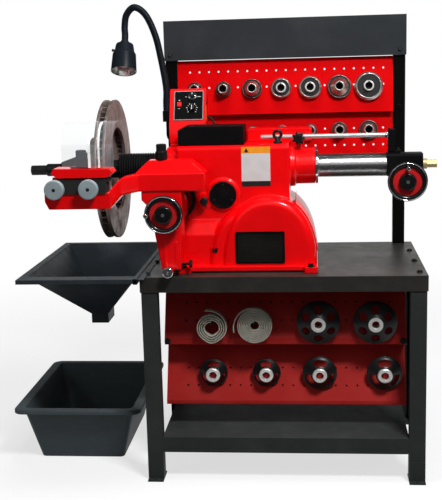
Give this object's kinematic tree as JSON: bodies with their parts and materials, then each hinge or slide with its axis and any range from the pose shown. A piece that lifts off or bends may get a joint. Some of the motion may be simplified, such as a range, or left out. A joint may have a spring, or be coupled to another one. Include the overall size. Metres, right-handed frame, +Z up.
{
  "type": "brake lathe",
  "caption": "Workshop lathe that resurfaces vehicle brake discs, on a steel bench with tool boards, chip hopper, chip tub, work lamp and twin cutter.",
  "frame": {"origin": "centre of the bounding box on the floor", "axes": "+X to the right along the spindle, +Y away from the operator, +Z up"},
  "size_m": [1.4384, 0.842, 1.5516],
  "materials": {
    "black_paint": "satin",
    "grey_paint": "satin",
    "red_panel": "satin",
    "red_paint": "gloss",
    "strap": "matt",
    "tub_plastic": "matt",
    "brass": "worn",
    "chrome": "polished",
    "black_cover": "satin",
    "black_steel": "blackened",
    "black_plastic": "gloss",
    "motor_iron": "cast",
    "black_rubber": "matt",
    "polished_steel": "polished",
    "disc_iron": "worn",
    "black_wheel": "gloss",
    "aluminium": "turned",
    "clear_sheet": "clear",
    "black_face": "satin",
    "red_plastic": "gloss",
    "black_shade": "satin"
  },
  "bodies": {
    "stand": {"bench_top": "black_paint", "bench_frame": "black_paint", "back_frame": "grey_paint", "upper_peg_board": "red_panel", "lower_peg_board": "red_panel", "loose_band": "strap", "rolled_band": "strap", "main_housing": "red_paint", "spindle_bush_left": "brass", "spindle_bush_right": "chrome", "gear_cover": "black_cover", "motor_grille": "black_cover", "belt_cover": "red_paint", "rod_cover": "black_cover", "top_cover": "red_paint", "lifting_eye": "black_steel", "drive_motor": "motor_iron", "drive_belt": "black_rubber", "spindle_boot": "black_rubber", "cross_boot": "black_rubber", "guide_bar": "chrome", "control_box": "red_paint", "control_face": "black_face", "lamp_clamp": "black_plastic", "gooseneck": "black_rubber", "lamp_head": "black_shade", "lamp_cable": "black_rubber", "control_cable": "black_rubber"},
    "feed_carriage": {"feed_head": "black_cover", "stop_rod": "polished_steel"},
    "spindle_group": {"spindle": "polished_steel", "arbor": "brass", "arbor_nut": "black_steel", "hub_cone": "black_steel", "hub_bell": "black_steel", "brake_disc": "disc_iron"},
    "motor_pulley_body": {"motor_pulley": "motor_iron"},
    "drive_sleeve_body": {"drive_sleeve": "motor_iron"},
    "feed_wheel": {"feed_handwheel": "black_wheel"},
    "feed_grip_body": {"feed_grip": "chrome"},
    "star_knob_body": {"star_knob": "black_plastic"},
    "cross_saddle": {"saddle": "red_paint"},
    "cross_wheel": {"cross_handwheel": "black_wheel"},
    "cross_grip_body": {"cross_grip": "chrome"},
    "arm": {"cutter_arm": "red_paint", "clamp_plate": "red_paint", "chip_guard": "clear_sheet"},
    "arm_nut": {"arm_clamp_nut": "black_steel"},
    "plate_nut": {"clamp_nut": "black_steel"},
    "left_bar": {"tool_bar_left": "black_steel"},
    "right_bar": {"tool_bar_right": "black_steel"},
    "left_micrometer": {"micrometer_left": "aluminium"},
    "right_micrometer": {"micrometer_right": "aluminium"},
    "engage_knob_body": {"engage_knob": "black_plastic"},
    "rocker": {"rocker_switch": "red_plastic"},
    "speed_knob_body": {"speed_knob": "chrome"},
    "feed_dial_body": {"feed_dial": "black_plastic"},
    "lamp_switch_body": {"lamp_switch": "black_plastic"},
    "hopper": {"chip_hopper": "black_paint"},
    "tub": {"chip_tub": "tub_plastic"}
  },
  "joints": [
    {"name": "spindle_slide", "type": "slide", "parent": "stand", "child": "feed_carriage", "axis": [1, 0, 0], "range_m": [-0.19, 0.03], "deforming": ["spindle_boot"]},
    {"name": "spindle_spin", "type": "hinge", "parent": "feed_carriage", "child": "spindle_group", "pos_m": [0.21885, -0.065, 1.011], "axis": [1, 0, 0], "continuous": true},
    {"name": "motor_turn", "type": "hinge", "parent": "stand", "child": "motor_pulley_body", "pos_m": [0.20785, -0.045, 0.786], "axis": [1, 0, 0], "continuous": true},
    {"name": "sleeve_turn", "type": "hinge", "parent": "stand", "child": "drive_sleeve_body", "pos_m": [0.20785, -0.065, 1.011], "axis": [1, 0, 0], "continuous": true},
    {"name": "feed_handwheel_turn", "type": "hinge", "parent": "feed_carriage", "child": "feed_wheel", "pos_m": [0.61985, -0.135, 0.962], "axis": [0, 1, 0], "range_deg": [-6841, 1081]},
    {"name": "feed_grip_turn", "type": "hinge", "parent": "feed_wheel", "child": "feed_grip_body", "pos_m": [0.61985, -0.155, 1.006], "axis": [0, 1, 0], "continuous": true},
    {"name": "star_knob_turn", "type": "hinge", "parent": "stand", "child": "star_knob_body", "pos_m": [0.27285, -0.095, 1.104], "axis": [0, 1, 0], "range_deg": [-180, 180]},
    {"name": "cross_feed", "type": "slide", "parent": "stand", "child": "cross_saddle", "axis": [0, 1, 0], "range_m": [-0.11, 0], "deforming": ["cross_boot"]},
    {"name": "cross_handwheel_turn", "type": "hinge", "parent": "cross_saddle", "child": "cross_wheel", "pos_m": [-0.14715, -0.305, 0.89], "axis": [0, 1, 0], "range_deg": [-7921, 1]},
    {"name": "cross_grip_turn", "type": "hinge", "parent": "cross_wheel", "child": "cross_grip_body", "pos_m": [-0.19915, -0.325, 0.89], "axis": [0, 1, 0], "continuous": true},
    {"name": "arm_swivel", "type": "hinge", "parent": "cross_saddle", "child": "arm", "pos_m": [-0.15715, -0.233, 1], "axis": [0, 0, 1], "range_deg": [0, 10]},
    {"name": "arm_nut_turn", "type": "hinge", "parent": "cross_saddle", "child": "arm_nut", "pos_m": [-0.15715, -0.233, 1.08], "axis": [0, 0, 1], "range_deg": [-180, 180]},
    {"name": "clamp_nut_turn", "type": "hinge", "parent": "arm", "child": "plate_nut", "pos_m": [-0.38915, -0.345, 1.075], "axis": [0, 0, 1], "range_deg": [-180, 180]},
    {"name": "left_micrometer_turn", "type": "hinge", "parent": "arm", "child": "left_micrometer", "pos_m": [-0.46215, -0.408, 0.986], "axis": [0, 1, 0], "range_deg": [-850, 850]},
    {"name": "left_bar_slide", "type": "slide", "parent": "arm", "child": "left_bar", "axis": [0, 1, 0], "range_m": [-0.006, 0.006]},
    {"name": "right_micrometer_turn", "type": "hinge", "parent": "arm", "child": "right_micrometer", "pos_m": [-0.35715, -0.408, 0.986], "axis": [0, 1, 0], "range_deg": [-850, 850]},
    {"name": "right_bar_slide", "type": "slide", "parent": "arm", "child": "right_bar", "axis": [0, 1, 0], "range_m": [-0.006, 0.006]},
    {"name": "engage_pull", "type": "slide", "parent": "stand", "child": "engage_knob_body", "axis": [0, 1, 0], "range_m": [-0.012, 0]},
    {"name": "rocker_tip", "type": "hinge", "parent": "stand", "child": "rocker", "pos_m": [-0.12915, 0.02582, 1.21528], "axis": [1, 0, 0], "range_deg": [-14, 0]},
    {"name": "speed_turn", "type": "hinge", "parent": "stand", "child": "speed_knob_body", "pos_m": [-0.08615, 0.0346, 1.24543], "axis": [0, -0.9034, 0.4287], "range_deg": [-150, 150]},
    {"name": "feed_dial_turn", "type": "hinge", "parent": "stand", "child": "feed_dial_body", "pos_m": [-0.08715, 0.01573, 1.20568], "axis": [0, -0.9034, 0.4287], "range_deg": [-150, 150]},
    {"name": "lamp_switch_press", "type": "slide", "parent": "stand", "child": "lamp_switch_body", "axis": [1, 0, 0], "range_m": [0, 0.002], "stiffness_N_per_m": 400},
    {"name": "hopper_lift", "type": "slide", "parent": "stand", "child": "hopper", "axis": [0, 0, 1], "range_m": [0, 0.08]},
    {"name": "tub_slide", "type": "slide", "parent": "stand", "child": "tub", "axis": [-1, 0, 0], "range_m": [0, 0.3]}
  ],
  "couplings": [
    {"joint": "motor_turn", "follows": "spindle_spin", "ratio": 1.8125},
    {"joint": "sleeve_turn", "follows": "spindle_spin", "ratio": 1},
    {"joint": "feed_handwheel_turn", "follows": "spindle_slide", "rad_per_m": 628.32},
    {"joint": "cross_handwheel_turn", "follows": "cross_feed", "rad_per_m": 1256.6},
    {"joint": "left_bar_slide", "follows": "left_micrometer_turn", "m_per_rad": 0.00040425},
    {"joint": "right_bar_slide", "follows": "right_micrometer_turn", "m_per_rad": 0.00040425}
  ]
}
